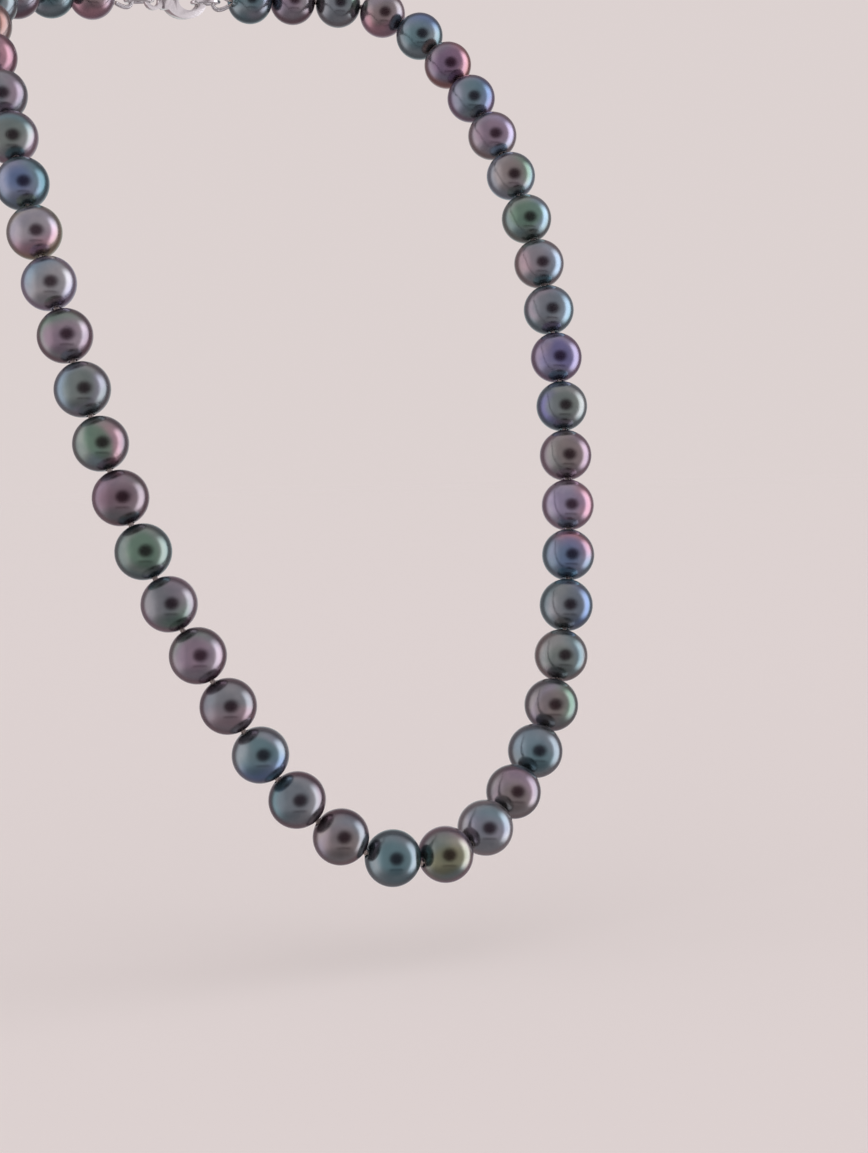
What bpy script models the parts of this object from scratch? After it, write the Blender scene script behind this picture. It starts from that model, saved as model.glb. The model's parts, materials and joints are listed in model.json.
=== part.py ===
"""A knotted pearl necklace as it hangs round a neck, closed behind by a lobster clasp.

Metres, +Z up, the wearer faces -Y. Left and right are as seen from the front, so left is -X.
The origin is where the strand bears on the nape, in the middle of the clasp.
"""

import math

import bmesh
import bpy
import numpy as np
from mathutils import Matrix, Vector

# Pearls
FRONT_DIAMETER = 0.00915        # the middle pearl, across its drill hole
BACK_TAPER = 0.08               # how much smaller the last pearl is, as a share
SIZE_WOBBLE = 0.006             # pearls are matched by eye, not equal
ROUNDNESS = 0.98                # length along the drill hole over the diameter
PEARLS_A_SIDE = 23
HINGED_A_SIDE = 14              # the pearls that hang clear of the shoulder on each side
PEARL_STEPS = 10                # sides of a turned pearl
PEARL_ROWS = 6                  # facets from one end to the other
DRILL_PLAY = 0.0003             # round the thread
DRILL_FLARE = 0.00025           # the worn mouth beyond the hole
DRILL_MOUTH_DEPTH = 0.0003

# Silk thread and its knots
KNOT_GAP = 0.00025              # between neighbouring pearls, on the thread
THREAD_RADIUS = 0.00025
KNOT_SWELL = 2                  # times the thread's own radius
KNOT_TAIL = 0.0002              # how far a knot reaches into each pearl's mouth

# Bullion wire that guards the thread where it loops round a ring
BULLION_PLAY = 0.00005          # round the thread
BULLION_WALL = 0.00012
BULLION_REACH = 0.0034          # pearl to the loop's far bend
BULLION_WIDTH = 0.0009          # half the loop's swell
BULLION_LEGS = 0.0005           # half the distance between the two legs
BULLION_STANDOFF = 0.00035      # bare thread between the pearl and the loop
LOOP_POINTS = 13

# Rings
RING_RADIUS = 0.0024            # to the middle of the wire
RING_WIRE_RADIUS = 0.0004
RING_SPLIT_DEGREES = 4          # the cut that lets the jump ring open
LINK_PLAY = 0.00015             # between linked pieces

# Lobster clasp, drawn flat: X towards the claw, Y up, from the middle of the tail hole
TAIL_RADIUS = 0.0017
TAIL_HOLE_RADIUS = 0.00095
TAIL_THICKNESS = 0.001
CLASP_THICKNESS = 0.002
CLAW_MIDDLE = (0.0062, 0.0)
CLAW_HALF_SIZE = (0.0041, 0.0031)
HOOK_MIDDLE = (0.0069, 0.0001)
HOOK_HALF_SIZE = (0.0022, 0.0017)
CLAW_PLAY = 0.0005              # between the hook and the ring that hangs in it
SLOT_WIDTH = 0.0009
SLOT_ENDS = (0.0026, 0.0057)
SLOT_FLOOR = -0.0012
LEVER_CLEARANCE = 0.0001        # to each cheek of the slot and round the pin
LEVER_INSET = 0.00015           # the lever's outline inside the claw's
PIVOT = (0.0037, 0.0006)
PIN_RADIUS = 0.0004
HUB_RADIUS = 0.00095
CLAW_TIP_DEGREES = 73           # where the claw's outer curve ends, from its long axis
CLAW_NECK_DEGREES = 150         # where it runs into the tail, above and below
CLAW_SHOULDER_DEGREES = 120     # the upper edge of the slot's mouth
TAIL_NECK_DEGREES = 50
GATE_DEGREES = (78, 116)        # the lever's outer edge between the claw's tip and the tab
TAB_OFFSET = (-0.0008, 0.0035)  # from the pivot
TAB_RADIUS = 0.0005
SPRING_WIRE_RADIUS = 0.00012
SPRING_BEND_RADIUS = 0.00025
SPRING_ENDS = (-0.0006, 0.0009)  # its bend and its tips, from the pivot along the slot

# How the strand lies: from the middle of the front, over the chest and the shoulder, to the nape.
# The last point only gives the nape's height and depth: the clasp's length sets how far out it is.
HALF_ROUTE = [
    (0.0, -0.0790, -0.1425),
    (0.0195, -0.0735, -0.1340),
    (0.0335, -0.0655, -0.1125),
    (0.0415, -0.0565, -0.0885),
    (0.0457, -0.0480, -0.0650),
    (0.0475, -0.0373, -0.0412),
    (0.0457, -0.0222, -0.0183),
    (0.0382, -0.0044, -0.0025),
    (0.0156, 0.0046, 0.0),
]
LEAN_DROP = 0.00185             # the front hangs lower on the left and higher on the right
LEAN_HALF_WAVE = 0.037
LEAN_FADE = 0.045

NACRE = {
    "nacre_steel": (0.13, 0.16, 0.17),
    "nacre_green": (0.11, 0.15, 0.13),
    "nacre_aubergine": (0.16, 0.11, 0.13),
    "nacre_blue": (0.10, 0.12, 0.18),
    "nacre_taupe": (0.17, 0.15, 0.14),
}


def new_collection(name):
    collection = bpy.data.collections.new(name)
    bpy.context.scene.collection.children.link(collection)
    return collection


def new_material(name, color, roughness, metallic):
    material = bpy.data.materials.new(name)
    material.use_nodes = True
    shader = material.node_tree.nodes["Principled BSDF"]
    shader.inputs["Base Color"].default_value = (*color, 1.0)
    shader.inputs["Roughness"].default_value = roughness
    shader.inputs["Metallic"].default_value = metallic
    material.diffuse_color = (*color, 1.0)
    return material


def add_object(name, data, material, location, rotation=(0, 0, 0)):
    """An object in the necklace's collection, at a world location."""
    made = bpy.data.objects.new(name, data)
    made.location = location
    made.rotation_euler = rotation
    if material is not None:
        data.materials.clear()
        data.materials.append(material)
    necklace.objects.link(made)
    return made


def add_pivot(name, location):
    pivot = bpy.data.objects.new(name, None)
    pivot.empty_display_size = 0.002
    pivot.location = location
    necklace.objects.link(pivot)
    return pivot


def hang_under(child, parent, parent_location):
    """Parents a child that was given a world location to an unturned pivot."""
    child.parent = parent
    child.location = Vector(child.location) - Vector(parent_location)


# ---- the strand's line


def smooth_curve(points, first_slope, last_slope, samples):
    """The C2 cubic through the points, with its two end slopes given, as a fine polyline."""
    points = np.array(points)
    steps = np.linalg.norm(np.diff(points, axis=0), axis=1)
    count = len(points)
    system = np.eye(count)
    right_side = np.zeros((count, 3))
    right_side[0] = first_slope
    right_side[-1] = last_slope
    for i in range(1, count - 1):
        before, after = steps[i - 1], steps[i]
        system[i, i - 1] = 1 / before
        system[i, i] = 2 / before + 2 / after
        system[i, i + 1] = 1 / after
        rise_before = (points[i] - points[i - 1]) / before**2
        rise_after = (points[i + 1] - points[i]) / after**2
        right_side[i] = 3 * (rise_before + rise_after)
    slopes = np.linalg.solve(system, right_side)
    polyline = []
    for i, step in enumerate(steps):
        for t in np.linspace(0, 1, samples, endpoint=False):
            start = (1 + 2 * t) * (1 - t) ** 2 * points[i] + t * (1 - t) ** 2 * step * slopes[i]
            end = t**2 * (3 - 2 * t) * points[i + 1] - t**2 * (1 - t) * step * slopes[i + 1]
            polyline.append(start + end)
    polyline.append(points[-1])
    return np.array(polyline)


def distances_along(polyline):
    return np.concatenate([[0], np.cumsum(np.linalg.norm(np.diff(polyline, axis=0), axis=1))])


def half_line(scale):
    """The half route grown by a scale, with its end where the clasp's length puts it."""
    points = [tuple(scale * value for value in point) for point in HALF_ROUTE[:-1]]
    points.append((half_span, HALF_ROUTE[-1][1], HALF_ROUTE[-1][2]))
    return smooth_curve(points, (1, 0, 0), (-1, 0, 0), 120)


def fit_half_line(length):
    """Halves an interval of scales until the line is as long as the pearls strung on it."""
    low, high = 0.4, 2.5
    for _ in range(40):
        middle = (low + high) / 2
        if distances_along(half_line(middle))[-1] < length:
            low = middle
        else:
            high = middle
    return half_line(middle)


def lean_line(polyline, side):
    """The half line on its own side, lower on the left and higher on the right."""
    distance = distances_along(polyline)
    lean = np.sin(np.pi * distance / LEAN_HALF_WAVE) * np.exp(-((distance / LEAN_FADE) ** 2))
    line = polyline * (side, 1, 1)
    line[:, 2] += side * LEAN_DROP * lean
    return line


def strand_point(distance):
    """A point of the strand, by its signed distance along it from the middle of the front."""
    side = -1 if distance < 0 else 1
    line = strand_lines[side]
    along_line = distances_along(line)
    share = min(abs(distance) / pearl_distances[PEARLS_A_SIDE], 1)
    return Vector([np.interp(share * along_line[-1], along_line, line[:, axis]) for axis in range(3)])


def strand_direction(distance):
    step = 0.0002
    return (strand_point(distance + step) - strand_point(distance - step)).normalized()


# ---- pearls and thread


def pearl_size(number):
    """Half the diameter and half the length of a pearl, by its place from the middle."""
    share = abs(number) / PEARLS_A_SIDE
    matched = 1 + SIZE_WOBBLE * math.sin(2.4 * abs(number))
    radius = FRONT_DIAMETER / 2 * (1 - BACK_TAPER * share**2) * matched
    return radius, radius * ROUNDNESS


def mouth_height(number):
    """How far from a pearl's middle its drill hole opens."""
    radius, half_length = pearl_size(number)
    return half_length * math.sqrt(1 - (drill_mouth_radius / radius) ** 2)


def pearl_mesh(name, number):
    """A turned pearl: down its outside, then back up its drill hole."""
    radius, half_length = pearl_size(number)
    first = math.asin(drill_mouth_radius / radius)
    profile = []
    for i in range(PEARL_ROWS + 1):
        angle = first + (math.pi - 2 * first) * i / PEARL_ROWS
        profile.append((radius * math.sin(angle), 0, half_length * math.cos(angle)))
    throat = mouth_height(number) - DRILL_MOUTH_DEPTH
    profile.append((drill_radius, 0, -throat))
    profile.append((drill_radius, 0, throat))
    edges = [(i, (i + 1) % len(profile)) for i in range(len(profile))]
    mesh = bpy.data.meshes.new(name)
    mesh.from_pydata(profile, edges, [])
    return mesh


def turn_full_circle(turned, steps):
    screw = turned.modifiers.new("turned", "SCREW")
    screw.axis = "Z"
    screw.angle = 2 * math.pi
    screw.steps = steps
    screw.render_steps = steps
    screw.use_merge_vertices = True
    screw.merge_threshold = 0.00001
    screw.use_smooth_shade = True


def pearl_name(number):
    if number == 0:
        return "pearl_centre"
    side = "left" if number < 0 else "right"
    return f"pearl_{side}_{abs(number):02d}"


def knot_middle(number, towards):
    """The knot between a pearl and its neighbour one place further on."""
    near = pearl_mouth(number, towards)
    far = pearl_mouth(number + towards, -towards)
    return (near + far) / 2


def pearl_mouth(number, end):
    return pearl_middles[number] + pearl_axes[number] * (end * mouth_height(number))


def make_pearls():
    """Every pearl, the hanging ones each under a pivot in the knot above it."""
    shades = list(NACRE)
    for number in range(-PEARLS_A_SIDE, PEARLS_A_SIDE + 1):
        name = pearl_name(number)
        material = materials[shades[(7 * number * number + number) % len(shades)]]
        pearl = add_object(name, pearl_mesh(name, number), material, pearl_middles[number])
        pearl.rotation_euler = pearl_axes[number].to_track_quat("Z", "Y").to_euler()
        turn_full_circle(pearl, PEARL_STEPS)
        pearls[number] = pearl
    for side in (-1, 1):
        parent, parent_place = None, None
        last = 0 if side < 0 else 1
        for place in range(HINGED_A_SIDE, last - 1, -1):
            number = side * place
            hinge_place = knot_middle(number, side)
            hinge = add_pivot(f"hinge_{pearl_name(number)}", hinge_place)
            if parent is not None:
                hang_under(hinge, parent, parent_place)
            hang_under(pearls[number], hinge, hinge_place)
            parent, parent_place = hinge, hinge_place


def loop_point(t, side):
    """A point of the bullion loop: out from the last pearl, round, and back beside itself."""
    reach = BULLION_REACH * math.sin(math.pi * t)
    rise = BULLION_WIDTH * math.sin(2 * math.pi * t) + BULLION_LEGS * (math.cos(math.pi * t) - 1)
    return Vector((side * (loop_start - reach), nape_y, nape_z + rise))


def loop_points(side, count):
    return [loop_point(i / (count - 1), side) for i in range(count)]


def knot_points(number):
    """The thread's points in one gap: thin, swelling to the knot, thin again."""
    near = pearl_mouth(number, 1)
    far = pearl_mouth(number + 1, -1)
    middle = (near + far) / 2
    along = (far - near).normalized()
    shape = [(-knot_half_length, THREAD_RADIUS), (-knot_half_length / 2, knot_radius)]
    shape += [(-offset, radius) for offset, radius in reversed(shape)]
    return [(middle + along * offset, radius) for offset, radius in shape]


def thread_points():
    """Left loop from its tail, straight through every pearl from knot to knot, right loop."""
    route = [(point, THREAD_RADIUS) for point in reversed(loop_points(-1, LOOP_POINTS))]
    for number in range(-PEARLS_A_SIDE, PEARLS_A_SIDE):
        route += knot_points(number)
    route += [(point, THREAD_RADIUS) for point in loop_points(1, LOOP_POINTS)]
    return route


def tube(name, points, radius, capped=True, closed=False):
    """A round wire along points, or along (point, radius) pairs when its radius changes."""
    curve = bpy.data.curves.new(name, "CURVE")
    curve.dimensions = "3D"
    curve.bevel_depth = radius
    curve.bevel_resolution = 2
    curve.use_fill_caps = capped
    spline = curve.splines.new("POLY")
    spline.points.add(len(points) - 1)
    for spot, point in zip(spline.points, points):
        if isinstance(point, tuple):
            point, own_radius = point
            spot.radius = own_radius / radius
        spot.co = (*point, 1)
    spline.use_cyclic_u = closed
    return curve


def make_thread():
    curve = tube("silk_thread", thread_points(), THREAD_RADIUS)
    add_object("silk_thread", curve, materials["silk"], (0, 0, 0))


def make_bullion(side_name, side):
    """The loop's hollow wire: an open tube given a wall, so that the thread runs through it."""
    name = f"bullion_{side_name}"
    curve = tube(name, loop_points(side, LOOP_POINTS), bullion_radius, capped=False)
    bullion = as_mesh(add_object(name, curve, materials["silver"], (0, 0, 0)))
    wall = bullion.modifiers.new("wall", "SOLIDIFY")
    wall.thickness = BULLION_WALL
    wall.offset = -1


# ---- the clasp


def as_mesh(curve_object):
    """The curve object made a welded mesh object of the same name and place."""
    bpy.context.view_layer.update()
    depsgraph = bpy.context.evaluated_depsgraph_get()
    mesh = bpy.data.meshes.new_from_object(curve_object.evaluated_get(depsgraph))
    work = bmesh.new()
    work.from_mesh(mesh)
    bmesh.ops.remove_doubles(work, verts=work.verts, dist=0.000001)
    bmesh.ops.recalc_face_normals(work, faces=work.faces)
    work.to_mesh(mesh)
    work.free()
    name = curve_object.name
    world = curve_object.matrix_world.copy()
    material = curve_object.data.materials[0] if curve_object.data.materials else None
    bpy.data.objects.remove(curve_object)
    made = add_object(name, mesh, material, (0, 0, 0))
    made.matrix_world = world
    return made


def arc(middle, half_size, first_degrees, last_degrees, count):
    """Points of an ellipse's arc, both ends included."""
    points = []
    for i in range(count):
        angle = math.radians(first_degrees + (last_degrees - first_degrees) * i / (count - 1))
        across = middle[0] + half_size[0] * math.cos(angle)
        up = middle[1] + half_size[1] * math.sin(angle)
        points.append((across, up))
    return points


def plate(name, outline, thickness, material, location):
    """A flat plate standing in the XZ plane, from its outline, with the location in its middle."""
    curve = bpy.data.curves.new(name, "CURVE")
    curve.dimensions = "2D"
    curve.fill_mode = "BOTH"
    curve.extrude = thickness / 2
    spline = curve.splines.new("POLY")
    spline.points.add(len(outline) - 1)
    for spot, (across, up) in zip(spline.points, outline):
        spot.co = (across, up, 0, 1)
    spline.use_cyclic_u = True
    return as_mesh(add_object(name, curve, material, location, (math.pi / 2, 0, 0)))


def add_cutter(name, work, location):
    mesh = bpy.data.meshes.new(name)
    work.to_mesh(mesh)
    work.free()
    cutter = bpy.data.objects.new(name, mesh)
    cutter.location = location
    cutter.hide_render = True
    cutter.display_type = "WIRE"
    cutters.objects.link(cutter)
    return cutter


def box_cutter(name, low, high, location):
    work = bmesh.new()
    bmesh.ops.create_cube(work, size=1)
    size = [b - a for a, b in zip(low, high)]
    middle = Vector([(a + b) / 2 for a, b in zip(low, high)])
    bmesh.ops.scale(work, vec=size, verts=work.verts)
    bmesh.ops.translate(work, vec=middle, verts=work.verts)
    return add_cutter(name, work, location)


def round_cutter(name, middle, radius, location):
    """A cylinder along Y, long enough to pass through the clasp."""
    work = bmesh.new()
    turn = Matrix.Translation((middle[0], 0, middle[1])) @ Matrix.Rotation(math.pi / 2, 4, "X")
    bmesh.ops.create_cone(
        work, cap_ends=True, segments=16, radius1=radius, radius2=radius,
        depth=2 * CLASP_THICKNESS, matrix=turn,
    )
    return add_cutter(name, work, location)


def cut(target, cutter):
    boolean = target.modifiers.new(cutter.name, "BOOLEAN")
    boolean.operation = "DIFFERENCE"
    boolean.solver = "EXACT"
    boolean.object = cutter


def claw_outline():
    """Round the claw from its tip, round the tail, and back inside the hook."""
    full = 360
    hook_start = CLAW_SHOULDER_DEGREES + 10
    hook_end = full + CLAW_TIP_DEGREES - 10
    outline = arc(CLAW_MIDDLE, CLAW_HALF_SIZE, CLAW_TIP_DEGREES, -CLAW_NECK_DEGREES, 20)
    outline += arc((0, 0), (TAIL_RADIUS, TAIL_RADIUS), -TAIL_NECK_DEGREES, TAIL_NECK_DEGREES - full, 14)
    outline += arc(CLAW_MIDDLE, CLAW_HALF_SIZE, CLAW_NECK_DEGREES, CLAW_SHOULDER_DEGREES, 4)
    outline += arc(HOOK_MIDDLE, HOOK_HALF_SIZE, hook_start, hook_end, 20)
    return outline


def lever_outline():
    """The gate across the hook's mouth, the thumb tab, the hub and the gate's inner edge."""
    outer = tuple(half - LEVER_INSET for half in CLAW_HALF_SIZE)
    inner = tuple(half + LEVER_CLEARANCE for half in HOOK_HALF_SIZE)
    tab = (PIVOT[0] + TAB_OFFSET[0], PIVOT[1] + TAB_OFFSET[1])
    outline = arc(CLAW_MIDDLE, outer, *GATE_DEGREES, 6)
    outline += arc(tab, (TAB_RADIUS, TAB_RADIUS), 0, 180, 7)
    outline += arc(PIVOT, (HUB_RADIUS, HUB_RADIUS), 170, 330, 8)
    outline += arc(HOOK_MIDDLE, inner, 165, 70, 9)
    return outline


def make_clasp_body():
    body = plate("clasp_body", claw_outline(), CLASP_THICKNESS, materials["silver"], tail_place)
    half_tail = TAIL_THICKNESS / 2
    beyond = 0.003
    for name, near, far in (("front", -beyond, -half_tail), ("back", half_tail, beyond)):
        low = (-2 * TAIL_RADIUS, near, -beyond)
        high = (TAIL_RADIUS + LINK_PLAY, far, beyond)
        cut(body, box_cutter(f"tail_{name}_cut", low, high, tail_place))
    cut(body, round_cutter("tail_hole_cut", (0, 0), TAIL_HOLE_RADIUS, tail_place))
    low = (SLOT_ENDS[0], -SLOT_WIDTH / 2, SLOT_FLOOR)
    high = (SLOT_ENDS[1], SLOT_WIDTH / 2, 2 * CLAW_HALF_SIZE[1])
    cut(body, box_cutter("lever_slot_cut", low, high, tail_place))
    cut(body, round_cutter("pin_hole_cut", PIVOT, PIN_RADIUS + LEVER_CLEARANCE, tail_place))
    return body


def make_lever():
    thickness = SLOT_WIDTH - 2 * LEVER_CLEARANCE
    lever = plate("clasp_lever", lever_outline(), thickness, materials["silver"], tail_place)
    cut(lever, round_cutter("lever_hole_cut", PIVOT, PIN_RADIUS + LEVER_CLEARANCE, tail_place))
    return lever


def make_pin():
    """The lever's pin, flush with the clasp's two cheeks."""
    work = bmesh.new()
    bmesh.ops.create_cone(
        work, cap_ends=True, segments=14, radius1=PIN_RADIUS, radius2=PIN_RADIUS,
        depth=CLASP_THICKNESS,
    )
    mesh = bpy.data.meshes.new("lever_pin")
    work.to_mesh(mesh)
    work.free()
    mesh.shade_smooth()
    mesh.set_sharp_from_angle(angle=math.radians(40))
    place = tail_place + Vector((PIVOT[0], 0, PIVOT[1]))
    return add_object("lever_pin", mesh, materials["silver"], place, (math.pi / 2, 0, 0))


def make_spring():
    """A hairpin of wire on the slot's floor, under the lever's arm."""
    floor = SLOT_FLOOR + 2 * SPRING_WIRE_RADIUS
    bend = (PIVOT[0] + SPRING_ENDS[0], floor + SPRING_BEND_RADIUS)
    tips = PIVOT[0] + SPRING_ENDS[1]
    ends = [(tips, floor)]
    ends += arc(bend, (SPRING_BEND_RADIUS, SPRING_BEND_RADIUS), 270, 90, 6)
    ends += [(tips, floor + 2 * SPRING_BEND_RADIUS)]
    points = [Vector((across, 0, up)) for across, up in ends]
    curve = tube("lever_spring", points, SPRING_WIRE_RADIUS)
    return add_object("lever_spring", curve, materials["steel"], tail_place)


def make_jump_ring():
    """The ring between the left loop and the clasp, cut so that it can be opened."""
    half_cut = RING_SPLIT_DEGREES / 2
    points = [Vector((across, up, 0)) for across, up in
              arc((0, 0), (RING_RADIUS, RING_RADIUS), 90 + half_cut, 450 - half_cut, 30)]
    curve = tube("jump_ring", points, RING_WIRE_RADIUS)
    return add_object("jump_ring", curve, materials["silver"], jump_ring_place)


def make_end_ring():
    """The closed ring that the claw hooks into."""
    bpy.ops.mesh.primitive_torus_add(
        major_radius=RING_RADIUS, minor_radius=RING_WIRE_RADIUS, major_segments=28, minor_segments=8
    )
    ring = bpy.context.object
    mesh = ring.data
    bpy.data.objects.remove(ring)
    mesh.shade_smooth()
    return add_object("end_ring", mesh, materials["silver"], end_ring_place)


# ---- the build

for old in list(bpy.data.objects):
    bpy.data.objects.remove(old, do_unlink=True)

necklace = new_collection("pearl_necklace")
cutters = new_collection("cutters")
materials = {name: new_material(name, color, 0.22, 0.25) for name, color in NACRE.items()}
materials["silk"] = new_material("silk", (0.74, 0.70, 0.66), 0.7, 0.0)
materials["silver"] = new_material("silver", (0.80, 0.79, 0.77), 0.18, 1.0)
materials["steel"] = new_material("steel", (0.45, 0.46, 0.48), 0.3, 1.0)

nape_y, nape_z = HALF_ROUTE[-1][1], HALF_ROUTE[-1][2]

# What goes over the thread is sized from it.
drill_radius = THREAD_RADIUS + DRILL_PLAY
drill_mouth_radius = drill_radius + DRILL_FLARE
knot_radius = KNOT_SWELL * THREAD_RADIUS
knot_half_length = KNOT_GAP / 2 + KNOT_TAIL
bullion_radius = THREAD_RADIUS + BULLION_PLAY + BULLION_WALL

# The chain of clasp and rings, from the left loop's bend to the right one's, sets the gap at the nape.
bend_to_wire = bullion_radius + RING_WIRE_RADIUS + LINK_PLAY
wire_to_tail_hole = TAIL_HOLE_RADIUS - RING_WIRE_RADIUS - LINK_PLAY
hook_end = HOOK_MIDDLE[0] + HOOK_HALF_SIZE[0]
wire_to_wire = wire_to_tail_hole + hook_end - CLAW_PLAY - RING_WIRE_RADIUS
bend_to_bend = 4 * RING_RADIUS + wire_to_wire - 2 * bend_to_wire
half_chain = bend_to_bend / 2
loop_start = half_chain + BULLION_REACH
half_span = loop_start + BULLION_STANDOFF + mouth_height(PEARLS_A_SIDE)

pearl_distances = {0: 0.0}
for place in range(1, PEARLS_A_SIDE + 1):
    pitch = pearl_size(place - 1)[1] + KNOT_GAP + pearl_size(place)[1]
    pearl_distances[place] = pearl_distances[place - 1] + pitch
    pearl_distances[-place] = -pearl_distances[place]
half_polyline = fit_half_line(pearl_distances[PEARLS_A_SIDE])
strand_lines = {side: lean_line(half_polyline, side) for side in (-1, 1)}
pearl_middles = {number: strand_point(along) for number, along in pearl_distances.items()}
pearl_axes = {number: strand_direction(along) for number, along in pearl_distances.items()}

link_z = nape_z - BULLION_LEGS
jump_ring_place = Vector((-half_chain - bend_to_wire + RING_RADIUS, nape_y, link_z))
end_ring_place = Vector((half_chain + bend_to_wire - RING_RADIUS, nape_y, link_z))
tail_place = jump_ring_place + Vector((RING_RADIUS + wire_to_tail_hole, 0, 0))

pearls = {}
make_pearls()
make_thread()
make_bullion("left", -1)
make_bullion("right", 1)

ring_pivot_place = Vector((-half_chain, nape_y, link_z))
clasp_pivot_place = jump_ring_place + Vector((RING_RADIUS, 0, 0))
lever_pivot_place = tail_place + Vector((PIVOT[0], 0, PIVOT[1]))
end_pivot_place = Vector((half_chain, nape_y, link_z))
ring_pivot = add_pivot("hinge_jump_ring", ring_pivot_place)
clasp_pivot = add_pivot("hinge_clasp", clasp_pivot_place)
lever_pivot = add_pivot("hinge_lever", lever_pivot_place)
end_pivot = add_pivot("hinge_end_ring", end_pivot_place)
hang_under(make_jump_ring(), ring_pivot, ring_pivot_place)
for piece in (make_clasp_body(), make_pin(), make_spring()):
    hang_under(piece, clasp_pivot, clasp_pivot_place)
hang_under(make_lever(), lever_pivot, lever_pivot_place)
hang_under(lever_pivot, clasp_pivot, clasp_pivot_place)
hang_under(clasp_pivot, ring_pivot, ring_pivot_place)
hang_under(make_end_ring(), end_pivot, end_pivot_place)
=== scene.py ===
import json
import math
import bmesh
import bpy
import numpy as np
from mathutils import Matrix, Vector


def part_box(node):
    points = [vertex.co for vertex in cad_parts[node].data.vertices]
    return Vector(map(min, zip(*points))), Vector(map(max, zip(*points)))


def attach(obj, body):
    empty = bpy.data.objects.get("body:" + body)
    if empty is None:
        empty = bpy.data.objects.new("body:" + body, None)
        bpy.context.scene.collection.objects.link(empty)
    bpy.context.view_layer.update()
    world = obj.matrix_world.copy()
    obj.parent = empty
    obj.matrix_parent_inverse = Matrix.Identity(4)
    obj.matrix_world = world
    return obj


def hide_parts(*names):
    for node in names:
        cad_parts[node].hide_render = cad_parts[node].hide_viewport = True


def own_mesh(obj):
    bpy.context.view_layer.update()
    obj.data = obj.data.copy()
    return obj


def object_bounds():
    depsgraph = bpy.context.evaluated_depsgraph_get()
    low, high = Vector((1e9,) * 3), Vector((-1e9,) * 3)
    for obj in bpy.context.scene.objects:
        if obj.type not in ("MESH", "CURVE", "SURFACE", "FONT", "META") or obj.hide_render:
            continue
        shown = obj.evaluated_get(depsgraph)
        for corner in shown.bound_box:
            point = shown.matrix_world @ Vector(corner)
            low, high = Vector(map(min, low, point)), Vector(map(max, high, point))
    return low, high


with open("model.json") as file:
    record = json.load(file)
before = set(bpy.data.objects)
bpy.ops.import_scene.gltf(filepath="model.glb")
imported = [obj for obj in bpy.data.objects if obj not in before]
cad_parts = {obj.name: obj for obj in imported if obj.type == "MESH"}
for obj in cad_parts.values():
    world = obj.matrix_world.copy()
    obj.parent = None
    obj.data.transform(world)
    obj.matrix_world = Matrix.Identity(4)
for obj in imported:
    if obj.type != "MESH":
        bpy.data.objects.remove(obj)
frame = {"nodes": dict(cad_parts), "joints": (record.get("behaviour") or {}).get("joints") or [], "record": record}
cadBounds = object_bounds()
record = frame["record"]
bodyOf = {node: body for body, nodes in record["behaviour"]["bodies"].items() for node in nodes}
slotOf = {row["node"]: row["material_slot"] for row in record["subparts"]}
print("frame loaded:", len(frame["nodes"]), "nodes")

view = {
    "azimuth": -32.3, "elevation": 7.29, "roll": -1.72,        # degrees
    "lens": 77.9, "film": 36, "nearest": 0.01,                 # mm, mm on the long side, metres
    "aim": (-0.0147, -0.1015, -0.0945), "distance": 0.3674,     # metres, from the nape
}


def viewAxes():
    # towards the camera, to its right and up, from the two angles
    turn, lift = math.radians(view["azimuth"]), math.radians(view["elevation"])
    toward = Vector((math.sin(turn) * math.cos(lift), -math.cos(turn) * math.cos(lift), math.sin(lift)))
    right = Vector((0, 0, 1)).cross(toward).normalized()
    return toward, right, toward.cross(right)


toward, right, up = viewAxes()


def makeCamera():
    camera = bpy.data.objects.new("camera", bpy.data.cameras.new("camera"))
    camera.data.lens = view["lens"]
    camera.data.sensor_width = view["film"]
    camera.data.clip_start = view["nearest"]
    roll = Matrix.Rotation(math.radians(view["roll"]), 3, toward)
    axes = Matrix((roll @ right, roll @ up, toward)).transposed()
    place = Vector(view["aim"]) + toward * view["distance"]
    camera.matrix_world = Matrix.Translation(place) @ axes.to_4x4()
    bpy.context.scene.collection.objects.link(camera)
    bpy.context.scene.camera = camera
    bpy.context.scene.view_settings.view_transform = "Standard"


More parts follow.
